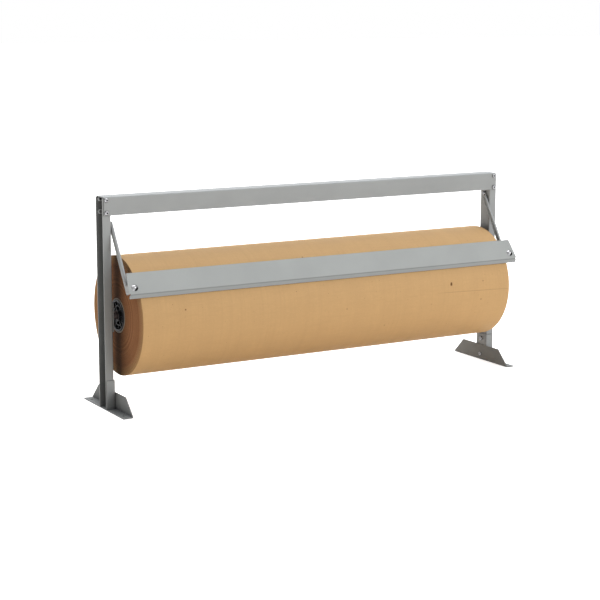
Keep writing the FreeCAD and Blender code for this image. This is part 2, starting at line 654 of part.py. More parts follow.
def make_fasteners():
    """Groups of identical fasteners, each a list of separate solids."""
    inward = X_AXIS * -1
    m6_end = M6_NUT[1] + THREAD_PROUD
    m5_end = M5_NUT[1] + THREAD_PROUD
    rail_screws = []
    rail_nuts = []
    for seat, out in rail_screw_seats():
        rail_screws.append(button_screw(seat, out, RAIL_STACK + m6_end, M6_BUTTON))
        rail_nuts.append(nut(seat - out * RAIL_STACK, out * -1, M6_BUTTON[0], M6_NUT))
    holder_screws = []
    holder_nuts = []
    for seat in holder_screw_seats():
        holder_screws.append(button_screw(seat, inward, HOLDER_STACK + m6_end, M6_BUTTON))
        holder_nuts.append(nut(seat + X_AXIS * HOLDER_STACK, X_AXIS, M6_BUTTON[0], M6_NUT))
    foot_nuts = []
    for seat, stack in ((FOOT_BOLT_SEAT, FOOT_STACK), (SOCKET_BOLT_SEAT, SOCKET_STACK)):
        foot_nuts.append(nut(seat + X_AXIS * stack, X_AXIS, M6_BUTTON[0], M6_NUT))
    pivot_seat = PIVOT + X_AXIS * PIVOT_HEAD_X
    pivot_grip = WEB_BACK - PIVOT_HEAD_X
    washer_bore = M5_BUTTON[0] / 2 + SCREW_HOLE_FIT
    washer_start = WEB_FACE - PIVOT_WASHER_THICKNESS
    washer = tube(PIVOT, X_AXIS, PIVOT_WASHER_DIAMETER / 2, washer_bore, washer_start, WEB_FACE)
    bar_nut_seat = BAR_BOLT + X_AXIS * BAR_BOLT_X - BAR_OUT * (BAR_SHEET + ARM_SHEET)
    return {
        "rail_screws": rail_screws,
        "rail_nuts": rail_nuts,
        "holder_screws": holder_screws,
        "holder_nuts": holder_nuts,
        "foot_bolts": [button_screw(FOOT_BOLT_SEAT, inward, FOOT_STACK + m6_end, M6_BUTTON)],
        "socket_bolts": [button_screw(SOCKET_BOLT_SEAT, inward, SOCKET_STACK + m6_end, M6_BUTTON)],
        "foot_nuts": foot_nuts,
        "pivot_screws": [button_screw(pivot_seat, inward, pivot_grip + m5_end, M5_BUTTON)],
        "pivot_washers": [washer],
        "pivot_nuts": [nut(PIVOT + X_AXIS * WEB_BACK, X_AXIS, M5_BUTTON[0], M5_NUT)],
        "shaft_clips": [make_clip()],
        "bar_bolts": [make_dome_bolt()],
        "bar_nuts": [nut(bar_nut_seat, BAR_OUT * -1, M6_BUTTON[0], M6_NUT)],
    }


def make_parts():
    """Every node's shape by name."""
    parts = {
        "top_rail": make_top_rail(),
        "core_shaft": make_core_shaft(),
        "cardboard_core": make_cardboard_core(),
        "paper_roll": make_paper_roll(),
        "cutter_bar": make_cutter_bar(),
    }
    paired = {
        "upright": make_upright(),
        "foot_socket": make_foot_socket(),
        "foot_plate": make_foot_plate(),
        "shaft_holder": make_shaft_holder(),
        "core_plug": make_core_plug(),
        "cutter_arm": make_cutter_arm(),
    }
    for name, shape in paired.items():
        for side_name, side in SIDES:
            parts[name + "_" + side_name] = on_side(shape, side)
    for name, solids in make_fasteners().items():
        parts[name] = Part.makeCompound(both_sides(solids))
    return parts


def main():
    """Write one STEP file per node."""
    os.makedirs("parts", exist_ok=True)
    for name, shape in make_parts().items():
        shape.exportStep("parts/" + name + ".step")


main()
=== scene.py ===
"""Finishes, wound paper and studio for a bench stand that holds and cuts wrapping paper."""
import math

import bmesh
import bpy
from bpy.props import FloatProperty, FloatVectorProperty, IntProperty, PointerProperty
from bpy.types import Operator, Panel, PropertyGroup
from mathutils import Matrix, Vector, noise


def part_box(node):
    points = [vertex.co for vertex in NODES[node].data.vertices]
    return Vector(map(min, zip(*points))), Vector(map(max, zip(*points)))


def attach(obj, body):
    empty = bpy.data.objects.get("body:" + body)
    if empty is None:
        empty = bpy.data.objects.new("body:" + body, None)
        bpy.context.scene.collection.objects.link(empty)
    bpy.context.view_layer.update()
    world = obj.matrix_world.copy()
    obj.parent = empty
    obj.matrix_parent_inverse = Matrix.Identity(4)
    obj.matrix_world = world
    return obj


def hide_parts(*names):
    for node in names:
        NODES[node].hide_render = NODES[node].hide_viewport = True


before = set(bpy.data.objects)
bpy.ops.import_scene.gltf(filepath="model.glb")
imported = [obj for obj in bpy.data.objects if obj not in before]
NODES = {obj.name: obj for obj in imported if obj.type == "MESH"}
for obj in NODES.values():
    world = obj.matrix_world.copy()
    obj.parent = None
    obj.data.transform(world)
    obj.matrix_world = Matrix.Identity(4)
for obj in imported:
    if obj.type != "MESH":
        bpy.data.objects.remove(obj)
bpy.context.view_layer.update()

bl_info = {
    "name": "Wrapping Paper Stand",
    "version": (1, 0, 0),
    "blender": (4, 5, 0),
    "location": "View3D > Sidebar > Paper Stand",
    "description": "Paints the stand, winds its paper roll and sets it in a plain studio",
    "category": "Object",
}

SIDES = ("left", "right")

ROLL_LOW, ROLL_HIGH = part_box("paper_roll")
ROLL_AXIS = (ROLL_LOW + ROLL_HIGH) / 2
ROLL_RADIUS = (ROLL_HIGH.z - ROLL_LOW.z) / 2
ROLL_END = ROLL_HIGH.x
CORE_LOW, CORE_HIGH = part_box("cardboard_core")
CORE_RADIUS = (CORE_HIGH.z - CORE_LOW.z) / 2

GREY_NODES = (
    ["top_rail"]
    + ["upright_" + side for side in SIDES]
    + ["foot_socket_" + side for side in SIDES]
    + ["shaft_holder_" + side for side in SIDES]
)
FOOT_NODES = ["foot_plate_" + side for side in SIDES]
ARM_NODES = ["cutter_arm_" + side for side in SIDES]
PLUG_NODES = ["core_plug_" + side for side in SIDES]
SCREW_NODES = ["rail_screws", "holder_screws", "pivot_screws", "foot_bolts", "socket_bolts"]
ZINC_NODES = ["rail_nuts", "holder_nuts", "foot_nuts", "pivot_nuts", "bar_nuts", "pivot_washers"]


# ---------------------------------------------------------------- shader helpers

WHITE = (1.0, 1.0, 1.0, 1.0)
# Stretch of a pattern that is the same along X, Y and Z.
EVEN = (1.0, 1.0, 1.0)
# Sockets of the colour mix node, which names its float and its colour sockets alike.
MIX_SHARE, MIX_FIRST, MIX_SECOND, MIX_RESULT = 0, 6, 7, 2
HOLLOW_SAMPLES = 6
EDGE_SAMPLES = 4
# Most of a noise pattern lies between these values.
NOISE_SPAN = (0.3, 0.7)


def add_node(tree, kind, inputs=None, **settings):
    """New shader node; an input given as a socket is linked, and any other is its value."""
    made = tree.nodes.new("ShaderNode" + kind)
    for name, value in settings.items():
        setattr(made, name, value)
    for key, value in (inputs or {}).items():
        if isinstance(value, bpy.types.NodeSocket):
            tree.links.new(value, made.inputs[key])
        else:
            made.inputs[key].default_value = value
    return made


def new_finish(name):
    """Material with an empty node tree; returns both."""
    material = bpy.data.materials.new(name)
    material.use_nodes = True
    tree = material.node_tree
    tree.nodes.clear()
    return material, tree


def set_surface(tree, inputs):
    """Principled shader with the given inputs, as the material's surface."""
    shader = add_node(tree, "BsdfPrincipled", inputs)
    add_node(tree, "OutputMaterial", {"Surface": shader.outputs["BSDF"]})


def place_of(tree, stretch=EVEN):
    """Object coordinates in metres, stretched by the given factors."""
    place = add_node(tree, "TexCoord").outputs["Object"]
    return add_node(tree, "Mapping", {"Vector": place, "Scale": stretch}).outputs["Vector"]


def grain(tree, stretch, size, detail, roughness):
    """Noise from 0 to 1 with features of about the given size in metres."""
    made = add_node(tree, "TexNoise", {
        "Vector": place_of(tree, stretch),
        "Scale": 1.0 / size,
        "Detail": detail,
        "Roughness": roughness,
    })
    return made.outputs["Fac"]


def grains(tree, table):
    """Noise patterns by name, from a table of stretch, size, detail and roughness."""
    return {name: grain(tree, *row) for name, row in table.items()}


def rings(tree, radius, table):
    """Ring patterns by name, from a table of rings per metre of radius, detail and roughness."""
    made = {}
    for name, (rate, detail, roughness) in table.items():
        made[name] = add_node(tree, "TexNoise", {
            "W": radius,
            "Scale": rate,
            "Detail": detail,
            "Roughness": roughness,
        }, noise_dimensions="1D").outputs["Fac"]
    return made


def remap(tree, value, low, high, to_low=0.0, to_high=1.0):
    """Value moved from one range to another and held inside it."""
    made = add_node(tree, "MapRange", {
        "Value": value,
        "From Min": low,
        "From Max": high,
        "To Min": to_low,
        "To Max": to_high,
    })
    return made.outputs["Result"]


def arithmetic(tree, operation, first, second=0.0):
    """One step of arithmetic on two values."""
    return add_node(tree, "Math", {0: first, 1: second}, operation=operation).outputs["Value"]


def vector_value(tree, operation, first, second=(0.0, 0.0, 0.0)):
    """One value worked out from two vectors."""
    made = add_node(tree, "VectorMath", {0: first, 1: second}, operation=operation)
    return made.outputs["Value"]


def axes_of(tree, vector):
    """The X, Y and Z of a vector."""
    return add_node(tree, "SeparateXYZ", {"Vector": vector}).outputs


def tinted(colour, factor=1.0):
    """RGBA colour made lighter or darker by a factor."""
    return tuple(channel * factor for channel in colour[:3]) + (1.0,)


def blend_colour(tree, share, first, second):
    """Two colours mixed by a share; each may be a socket or a colour."""
    made = add_node(tree, "Mix", {MIX_SHARE: share, MIX_FIRST: first, MIX_SECOND: second},
                    data_type="RGBA")
    return made.outputs[MIX_RESULT]


def mottled(tree, colour, pattern, low, high, first_tint, second_tint):
    """Colour that runs from one tint to another as a pattern goes from low to high."""
    share = remap(tree, pattern, low, high)
    return blend_colour(tree, share, tinted(colour, first_tint), tinted(colour, second_tint))


def marked(tree, body, colour, patterns, marks):
    """Body colour with marks laid over it in turn.

    Each mark is a pattern's name, the noise where it starts and is full, its share and its tint.
    """
    for name, start, full, share, tint in marks:
        cover = remap(tree, patterns[name], start, full, 0.0, share)
        body = blend_colour(tree, cover, body, tinted(colour, tint))
    return body


def shaded(tree, colour, factor):
    """Colour multiplied by a factor socket."""
    made = add_node(tree, "VectorMath", {0: colour, "Scale": factor}, operation="SCALE")
    return made.outputs["Vector"]


def shaded_hollows(tree, colour, reach, openness, darkest, own=False):
    """Colour multiplied by a factor that falls to the darkest in gaps within reach, in metres.

    The factor is at the darkest below the first openness and 1 above the second. With own, only
    the piece itself counts as a wall of the gap.
    """
    hidden = add_node(tree, "AmbientOcclusion", {"Distance": reach},
                      samples=HOLLOW_SAMPLES, only_local=own)
    return shaded(tree, colour, remap(tree, hidden.outputs["AO"], *openness, darkest, 1.0))


def relief(tree, patterns, layers):
    """Bump normal from layers, each a pattern's name, a depth in metres and a strength."""
    normal = None
    for name, depth, strength in layers:
        inputs = {"Height": patterns[name], "Distance": depth, "Strength": strength}
        if normal is not None:
            inputs["Normal"] = normal
        normal = add_node(tree, "Bump", inputs).outputs["Normal"]
    return normal


def radius_about_roll(tree):
    """Distance from the roll's axis in metres."""
    axis = (0.0, ROLL_AXIS.y, ROLL_AXIS.z)
    place = add_node(tree, "TexCoord").outputs["Object"]
    centred = add_node(tree, "VectorMath", {0: place, 1: axis}, operation="SUBTRACT").outputs[0]
    across = add_node(tree, "VectorMath", {0: centred, 1: (0.0, 1.0, 1.0)}, operation="MULTIPLY")
    return vector_value(tree, "LENGTH", across.outputs[0])


# ---------------------------------------------------------------- enamel

# The finishes are described by tables and pairs:
#   PATTERNS  stretch, size in metres, detail and roughness of a noise
#   RINGS     rings per metre of radius, detail and roughness of a noise
#   MOTTLE    the noise where the mottling starts and ends, and its two tints
#   MARKS     pattern, the noise where the mark starts and is full, share and tint
#   RELIEF    pattern, depth in metres and strength, from the lowest layer up
#   OPENNESS  where the shade in a hollow is full and where it is gone, from 0 to 1

ENAMEL_PATTERNS = {
    "mottle": (EVEN, 0.09, 4.0, 0.5),
    "dust": (EVEN, 0.0025, 3.0, 0.7),
    "handling": ((0.25, 1.0, 1.0), 0.03, 5.0, 0.65),
    "rubbing": (EVEN, 0.012, 5.0, 0.7),
}
ENAMEL_MOTTLE = (0.35, 0.65, 0.965, 1.035)
ENAMEL_MARKS = (("dust", 0.62, 0.72, 0.16, 0.78),)
PEEL_DETAIL = 2.0
PEEL_ROUGHNESS = 0.5
PEEL_DEPTH = 0.00006
PEEL_STRENGTH = 0.35
# The enamel's roughness follows the handling, this far below and above its middle.
SHINE_NOISE = (0.35, 0.7)
SMOOTHER, ROUGHER = 0.05, 0.07

# An edge is rubbed where its rounded normal leaves the true one, from the first cosine on.
EDGE_COSINES = (0.995, 0.93)
RUBBED_NOISE = (0.48, 0.62)
RUBBED_SHARE = 0.55
RUBBED_TINT = 1.35

# Painted shade in the enamel: in its channels, in the seams between pieces and beside the roll.
CAVITY_OPENNESS = (0.3, 0.8)
SEAM_OPENNESS = (0.35, 0.75)
SHELTER_OPENNESS = (0.35, 0.76)
# Painted light in the arms' shallow channels, lifted there while other hollows get painted shade.
ARM_CHANNEL_PAINTED_LIGHT = 2.4
NO_SHADE = 1.0
ENAMEL_GLOSS = 0.5
FOOT_GLOSS = 0.3

# Height of the bend between the cutter bar's face and its lip, and of the dark line below it.
LIP_HEIGHT = 0.0104
LIP_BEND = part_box("cutter_bar")[0].z + LIP_HEIGHT
# Painted shade on the lip: softness of its top edge, the handling noise over which it strengthens,
# and its least share.
LIP_BLUR = 0.0006
LIP_HANDLING = (0.2, 0.5)
LIP_LEAST_SHADE_SHARE = 0.8
# The line below the bend is a painted shade line.
BEND_LINE = LIP_BEND - 0.001
BEND_LINE_HALF_WIDTHS = (0.0004, 0.0022)
BEND_LINE_SHADE = 0.72


def shaded_lip(tree, body, handling, lip_shade_colour):
    """Body colour with painted shade on the lip and a painted shade line below its bend."""
    height = axes_of(tree, place_of(tree))["Z"]
    band = remap(tree, height, LIP_BEND + LIP_BLUR, LIP_BEND - LIP_BLUR)
    lip_shade_share = remap(tree, handling, *LIP_HANDLING, LIP_LEAST_SHADE_SHARE, 1.0)
    cover = arithmetic(tree, "MULTIPLY", band, lip_shade_share)
    body = blend_colour(tree, cover, body, tinted(lip_shade_colour))
    away = arithmetic(tree, "ABSOLUTE", arithmetic(tree, "SUBTRACT", height, BEND_LINE))
    return shaded(tree, body, remap(tree, away, *BEND_LINE_HALF_WIDTHS, BEND_LINE_SHADE, 1.0))


def rubbed_edges(tree, rubbing, width):
    """Share of rubbed paint along the sharp edges, broken up by the rubbing pattern."""
    true_normal = add_node(tree, "NewGeometry").outputs["Normal"]
    rounded = add_node(tree, "Bevel", {"Radius": width}, samples=EDGE_SAMPLES).outputs["Normal"]
    edge = remap(tree, vector_value(tree, "DOT_PRODUCT", true_normal, rounded), *EDGE_COSINES)
    return arithmetic(tree, "MULTIPLY", edge,
                      remap(tree, rubbing, *RUBBED_NOISE, 0.0, RUBBED_SHARE))


def enamel(name, colour, look, roughness, gloss, cavity_shade, shelter_shade=None,
           lip_shade_colour=None):
    """Sprayed satin enamel: fine orange peel, faint mottling and rubbed edges.

    Painted shade darkens it in hollows and between pieces, a shelter shade paints shade beside the
    roll, and a lip shade colour paints shade on the bar's lip.
    """
    material, tree = new_finish(name)
    patterns = grains(tree, ENAMEL_PATTERNS)
    patterns["peel"] = grain(tree, EVEN, look.peel_size, PEEL_DETAIL, PEEL_ROUGHNESS)

    body = mottled(tree, colour, patterns["mottle"], *ENAMEL_MOTTLE)
    body = marked(tree, body, colour, patterns, ENAMEL_MARKS)
    if lip_shade_colour is not None:
        body = shaded_lip(tree, body, patterns["handling"], lip_shade_colour)
    wear = rubbed_edges(tree, patterns["rubbing"], look.wear_width)
    body = blend_colour(tree, wear, body, tinted(colour, RUBBED_TINT))
    body = shaded_hollows(tree, body, look.cavity_reach, CAVITY_OPENNESS, cavity_shade, own=True)
    body = shaded_hollows(tree, body, look.seam_reach, SEAM_OPENNESS, look.seam_shade)
    if shelter_shade is not None:
        body = shaded_hollows(tree, body, look.shelter_reach, SHELTER_OPENNESS, shelter_shade)

    set_surface(tree, {
        "Base Color": body,
        "Roughness": remap(tree, patterns["handling"], *SHINE_NOISE,
                           roughness - SMOOTHER, roughness + ROUGHER),
        "Normal": relief(tree, patterns, (("peel", PEEL_DEPTH, PEEL_STRENGTH),)),
        "Specular IOR Level": gloss,
        "Metallic": look.flake,
    })
    return material


# ---------------------------------------------------------------- plated and drawn steel

PLATING_PATTERNS = {
    "spots": (EVEN, 0.0016, 4.0, 0.6),
    "lines": (EVEN, 0.0006, 3.0, 0.6),
}
TURNED_PATTERNS = {
    "spots": (EVEN, 0.0016, 4.0, 0.6),
    "lines": ((40.0, 1.0, 1.0), 0.004, 3.0, 0.6),
}
STEEL_MOTTLE = (0.4, 0.7, 1.05, 0.8)
STEEL_RELIEF = (("lines", 0.00002, 0.5),)
# Share of the middle roughness at the lines' smoothest and roughest.
SMOOTH_SHARE, ROUGH_SHARE = 0.7, 1.4
STEEL_EDGE_TINT = (0.3, 0.3, 0.3, 1.0)
# Painted shade on fasteners, the shaft and its clips where they meet another piece.
RIM_REACH = 0.012
RIM_OPENNESS = (0.6, 0.93)

# Side of the domed heads given a painted dark reflection, as a direction on the cutter bar.
DARK_REFLECTION_SIDE = Vector((0.475, -0.853, -0.217)).normalized()
DARK_REFLECTION_COSINES = (0.68, 0.83)
DARK_REFLECTION_SHADE = 0.03


def with_dark_reflection(tree, body, side):
    """Painted dark reflection: body colour nearly black where the piece faces the given side."""
    normal = add_node(tree, "NewGeometry").outputs["Normal"]
    own_normal = add_node(tree, "VectorTransform", {"Vector": normal}, vector_type="NORMAL",
                          convert_from="WORLD", convert_to="OBJECT").outputs["Vector"]
    facing = vector_value(tree, "DOT_PRODUCT", own_normal, side)
    return shaded(tree, body, remap(tree, facing, *DARK_REFLECTION_COSINES, 1.0, DARK_REFLECTION_SHADE))


def steel(name, colour, roughness, rim_shade, table=PLATING_PATTERNS, dark_reflection_side=None):
    """Plated or turned steel, with painted shade where it meets another piece.

    Given a side, it also has a painted dark reflection there.
    """
    material, tree = new_finish(name)
    patterns = grains(tree, table)
    body = mottled(tree, colour, patterns["spots"], *STEEL_MOTTLE)
    body = shaded_hollows(tree, body, RIM_REACH, RIM_OPENNESS, rim_shade)
    if dark_reflection_side is not None:
        body = with_dark_reflection(tree, body, dark_reflection_side)
    set_surface(tree, {
        "Base Color": body,
        "Roughness": remap(tree, patterns["lines"], *NOISE_SPAN,
                           roughness * SMOOTH_SHARE, roughness * ROUGH_SHARE),
        "Normal": relief(tree, patterns, STEEL_RELIEF),
        "Metallic": 1.0,
        "Specular Tint": STEEL_EDGE_TINT,
    })
    return material


# ---------------------------------------------------------------- plastic and cardboard

PLASTIC_PATTERNS = {
    "eroded": (EVEN, 0.0005, 2.0, 0.5),
    "bloom": (EVEN, 0.012, 4.0, 0.6),
}
PLASTIC_MOTTLE = (0.4, 0.7, 0.85, 1.7)
PLASTIC_RELIEF = (("eroded", 0.00004, 0.5),)
PLASTIC_ROUGHNESS = (0.4, 0.55)
PLASTIC_GLOSS = 0.15

BOARD_PATTERNS = {"fibres": (EVEN, 0.0012, 4.0, 0.7)}
BOARD_RINGS = {"plies": (2600.0, 2.0, 0.5)}
BOARD_MOTTLE = (0.35, 0.65, 0.72, 1.12)
BOARD_MARKS = (("fibres", 0.45, 0.75, 0.35, 1.3),)
BOARD_RELIEF = (("plies", 0.0002, 0.5), ("fibres", 0.0001, 0.5))
BOARD_ROUGHNESS = 0.85
BOARD_GLOSS = 0.25


def moulded_plastic(name, colour):
    """Black moulded plastic with a fine spark-eroded grain and a faint bloom."""
    material, tree = new_finish(name)
    patterns = grains(tree, PLASTIC_PATTERNS)
    set_surface(tree, {
        "Base Color": mottled(tree, colour, patterns["bloom"], *PLASTIC_MOTTLE),
        "Roughness": remap(tree, patterns["bloom"], *NOISE_SPAN, *PLASTIC_ROUGHNESS),
        "Normal": relief(tree, patterns, PLASTIC_RELIEF),
        "Specular IOR Level": PLASTIC_GLOSS,
    })
    return material


def core_board(name, colour):
    """Spiral-wound cardboard: thin glued plies at its end and a fibrous face."""
    material, tree = new_finish(name)
    patterns = grains(tree, BOARD_PATTERNS)
    patterns.update(rings(tree, radius_about_roll(tree), BOARD_RINGS))
    body = mottled(tree, colour, patterns["plies"], *BOARD_MOTTLE)
    set_surface(tree, {
        "Base Color": marked(tree, body, colour, patterns, BOARD_MARKS),
        "Roughness": BOARD_ROUGHNESS,
        "Normal": relief(tree, patterns, BOARD_RELIEF),
        "Specular IOR Level": BOARD_GLOSS,
    })
    return material


# ---------------------------------------------------------------- kraft paper

KRAFT_PATTERNS = {
    "cloud": (EVEN, 0.05, 5.0, 0.6),
    "fibre_along": ((0.16, 1.0, 1.0), 0.0011, 3.0, 0.7),
    "fibre_round": ((1.0, 0.12, 0.12), 0.0009, 3.0, 0.7),
    "bands": ((1.0, 0.0, 0.0), 0.035, 4.0, 0.7),
    "thin_bands": ((1.0, 0.02, 0.02), 0.0045, 3.0, 0.6),
    "drawn": ((0.07, 1.0, 1.0), 0.004, 3.0, 0.6),
    "flock": (EVEN, 0.007, 4.0, 0.7),
}
KRAFT_MOTTLE = (0.3, 0.7, 0.955, 1.04)
KRAFT_MARKS = (
    ("bands", 0.3, 0.7, 0.7, 0.9),
    ("drawn", 0.5, 0.68, 0.45, 0.88),
    ("thin_bands", 0.5, 0.7, 0.5, 0.88),
    ("fibre_along", 0.52, 0.72, 0.45, 1.16),
    ("fibre_round", 0.55, 0.75, 0.5, 0.8),
    ("flock", 0.35, 0.65, 0.5, 0.93),
)
KRAFT_RELIEF = (
    ("thin_bands", 0.0002, 0.35),
    ("fibre_along", 0.00008, 0.45),
    ("fibre_round", 0.00006, 0.4),
)
KRAFT_ROUGHNESS = (0.58, 0.68)
KRAFT_GLOSS = 0.1
# Shade on the paper just under the cutter bar's lip.
CONTACT_REACH = 0.012
CONTACT_OPENNESS = (0.3, 0.8)
CONTACT_SHADE = 0.55

# Scattered bark specks, at most one to a cell: size of the cells in metres, radius as a share of
# that size, and darkness.
SPECKS = ((0.035, 0.05, 0.8), (0.011, 0.09, 0.5))
SPECK_CHANCE = (0.55, 0.62)
# Share of a speck's radius that is fully dark.
SPECK_HEART = 0.4
# Single knots: place along X in metres, turn up from the front in degrees, radius in metres and
# darkness.
KNOTS = (
    (0.3242, 8.7, 0.0040, 1.0),
    (0.3246, 10.0, 0.0036, 1.0),
    (-0.395, 10.8, 0.0026, 0.8),
    (-0.064, 54.0, 0.0024, 0.7),
    (0.095, 46.7, 0.0024, 0.6),
    (0.025, -4.8, 0.0026, 0.35),
    (0.140, -28.0, 0.0024, 0.4),
    (0.4195, 9.5, 0.0024, 0.5),
    (0.4147, -9.7, 0.0026, 0.5),
)
# The crease is a painted shade line.
# A faint crease across the front of the roll: where it starts, how it climbs from there, and the
# distances over which it fades in along X, towards the front and across its width.
CREASE_X, CREASE_Z = 0.27, 0.2158
CREASE_SLOPE = -0.0294
CREASE_FADE_X = 0.06
CREASE_FADE_Y = -0.05
CREASE_HALF_WIDTHS = (0.0012, 0.0003)
CREASE_SHARE = 0.5
CREASE_TINT = 0.6

SLIT_PATTERNS = {
    "fuzz": (EVEN, 0.0014, 4.0, 0.7),
    "stain": (EVEN, 0.045, 4.0, 0.6),
}
SLIT_RINGS = {
    "fine": (2200.0, 4.0, 0.75),
    "layers": (190.0, 4.0, 0.6),
}
SLIT_MOTTLE = (0.32, 0.68, 0.66, 1.25)
SLIT_MARKS = (
    ("layers", 0.42, 0.7, 0.6, 0.55),
    ("layers", 0.42, 0.25, 0.55, 1.5),
    ("stain", 0.35, 0.7, 0.35, 0.7),
    ("fuzz", 0.5, 0.75, 0.35, 1.4),
)
# The rings wander off true circles by up to this distance in metres.
RING_WANDER = 0.0008
WANDER_PATTERN = (EVEN, 0.06, 3.0, 0.5)
# Depths under the outer face where the outermost, paler plies start and are full.
FRESH_DEPTHS = (0.022, 0.004)
FRESH_NOISE = (0.4, 0.6)
FRESH_SHARES = (0.25, 0.9)
# Painted shadow on the roll's ends, darkest behind the uprights that stand close to them.
SLIT_REACH = 0.08
SLIT_OPENNESS = (0.3, 0.95)
SLIT_SHADE = 0.12
FUZZ_DEPTH = 0.0002
FUZZ_STRENGTH = 0.4
SLIT_ROUGHNESS = 0.9
SLIT_GLOSS = 0.1


def with_specks(tree, body, place, speck_colour):
    """Body colour with the scattered bark specks and the single knots."""
    dark = tinted(speck_colour)
    for cell, radius, darkness in SPECKS:
        cells = add_node(tree, "TexVoronoi", {"Vector": place, "Scale": 1.0 / cell}).outputs
        chance = add_node(tree, "SeparateColor", {"Color": cells["Color"]}).outputs["Red"]
        few = remap(tree, chance, *SPECK_CHANCE)
        dot = remap(tree, cells["Distance"], radius, radius * SPECK_HEART, 0.0, darkness)
        body = blend_colour(tree, arithmetic(tree, "MULTIPLY", dot, few), body, dark)
    for along, degrees, radius, darkness in KNOTS:
        turn = math.radians(degrees)
        knot = (
            along,
            ROLL_AXIS.y - ROLL_RADIUS * math.cos(turn),
            ROLL_AXIS.z + ROLL_RADIUS * math.sin(turn),
        )
        away = vector_value(tree, "DISTANCE", place, knot)
        cover = remap(tree, away, radius, radius * SPECK_HEART, 0.0, darkness)
        body = blend_colour(tree, cover, body, dark)
    return body


def crease_shade_cover(tree, place):
    """Share of the painted shade line of the faint crease that runs to the roll's right end."""
    axes = axes_of(tree, place)
    along = arithmetic(tree, "SUBTRACT", axes["X"], CREASE_X)
    climb = arithmetic(tree, "MULTIPLY", along, CREASE_SLOPE)
    line = arithmetic(tree, "ADD", climb, CREASE_Z)
    away = arithmetic(tree, "ABSOLUTE", arithmetic(tree, "SUBTRACT", axes["Z"], line))
    cover = remap(tree, away, *CREASE_HALF_WIDTHS, 0.0, CREASE_SHARE)
    begun = remap(tree, axes["X"], CREASE_X, CREASE_X + CREASE_FADE_X)
    front = remap(tree, axes["Y"], 0.0, CREASE_FADE_Y)
    return arithmetic(tree, "MULTIPLY", arithmetic(tree, "MULTIPLY", cover, begun), front)


def kraft_face(name, paper):
    """Machine-finished kraft: fibres, drawn streaks, soft bands, specks and one crease.

    The crease is a painted shade line.
    """
    material, tree = new_finish(name)
    colour = paper.face_colour
    place = place_of(tree)
    patterns = grains(tree, KRAFT_PATTERNS)
    body = mottled(tree, colour, patterns["cloud"], *KRAFT_MOTTLE)
    body = marked(tree, body, colour, patterns, KRAFT_MARKS)
    body = with_specks(tree, body, place, paper.speck_colour)
    body = blend_colour(tree, crease_shade_cover(tree, place), body, tinted(colour, CREASE_TINT))
    body = shaded_hollows(tree, body, CONTACT_REACH, CONTACT_OPENNESS, CONTACT_SHADE)
    set_surface(tree, {
        "Base Color": body,
        "Roughness": remap(tree, patterns["cloud"], *NOISE_SPAN, *KRAFT_ROUGHNESS),
        "Normal": relief(tree, patterns, KRAFT_RELIEF),
        "Specular IOR Level": KRAFT_GLOSS,
    })
    return material


def kraft_edge(name, paper):
    """The roll's slit ends: plies as fine rings, darker and paler layers, painted shadow."""
    material, tree = new_finish(name)
    colour = paper.edge_colour
    wander = remap(tree, grain(tree, *WANDER_PATTERN), 0.0, 1.0, -RING_WANDER, RING_WANDER)
    radius = arithmetic(tree, "ADD", radius_about_roll(tree), wander)
    patterns = grains(tree, SLIT_PATTERNS)
    patterns.update(rings(tree, radius, SLIT_RINGS))

    body = mottled(tree, colour, patterns["fine"], *SLIT_MOTTLE)
    body = marked(tree, body, colour, patterns, SLIT_MARKS)
    outermost = remap(tree, radius, *(ROLL_RADIUS - depth for depth in FRESH_DEPTHS))
    fresh = remap(tree, patterns["fine"], *FRESH_NOISE, *FRESH_SHARES)
    cover = arithmetic(tree, "MULTIPLY", outermost, fresh)
    body = blend_colour(tree, cover, body, tinted(paper.face_colour))
    body = shaded_hollows(tree, body, SLIT_REACH, SLIT_OPENNESS, SLIT_SHADE)
    layers = (("fine", paper.ply_relief, 1.0), ("fuzz", FUZZ_DEPTH, FUZZ_STRENGTH))
    set_surface(tree, {
        "Base Color": body,
        "Roughness": SLIT_ROUGHNESS,
        "Normal": relief(tree, patterns, layers),
        "Specular IOR Level": SLIT_GLOSS,
    })
    return material


# ---------------------------------------------------------------- work on the frame's pieces

WELD_DISTANCE = 0.00001
FLAT_ANGLE = math.radians(0.5)
CRISP_ANGLE = math.radians(32)
BROKEN_ANGLE = math.radians(40)
BROKEN_SEGMENTS = 2


def crisp_edges():
    """Node group that shades smooth and keeps edges sharper than the crisp angle."""
    name = "crisp_edges"
    if name in bpy.data.node_groups:
        return bpy.data.node_groups[name]
    group = bpy.data.node_groups.new(name, "GeometryNodeTree")
    for way in ("INPUT", "OUTPUT"):
        group.interface.new_socket("Geometry", in_out=way, socket_type="NodeSocketGeometry")
    entry = group.nodes.new("NodeGroupInput")
    leave = group.nodes.new("NodeGroupOutput")
    faces = group.nodes.new("GeometryNodeSetShadeSmooth")
    faces.domain = "FACE"
    edges = group.nodes.new("GeometryNodeSetShadeSmooth")
    edges.domain = "EDGE"
    edges.inputs["Shade Smooth"].default_value = False
    angle = group.nodes.new("GeometryNodeInputMeshEdgeAngle")
    sharp = group.nodes.new("FunctionNodeCompare")
    sharp.operation = "GREATER_THAN"
    sharp.inputs[1].default_value = CRISP_ANGLE
    group.links.new(angle.outputs["Unsigned Angle"], sharp.inputs[0])
    group.links.new(entry.outputs["Geometry"], faces.inputs["Geometry"])
    group.links.new(faces.outputs["Geometry"], edges.inputs["Geometry"])
    group.links.new(sharp.outputs["Result"], edges.inputs["Selection"])
    group.links.new(edges.outputs["Geometry"], leave.inputs["Geometry"])
    return group


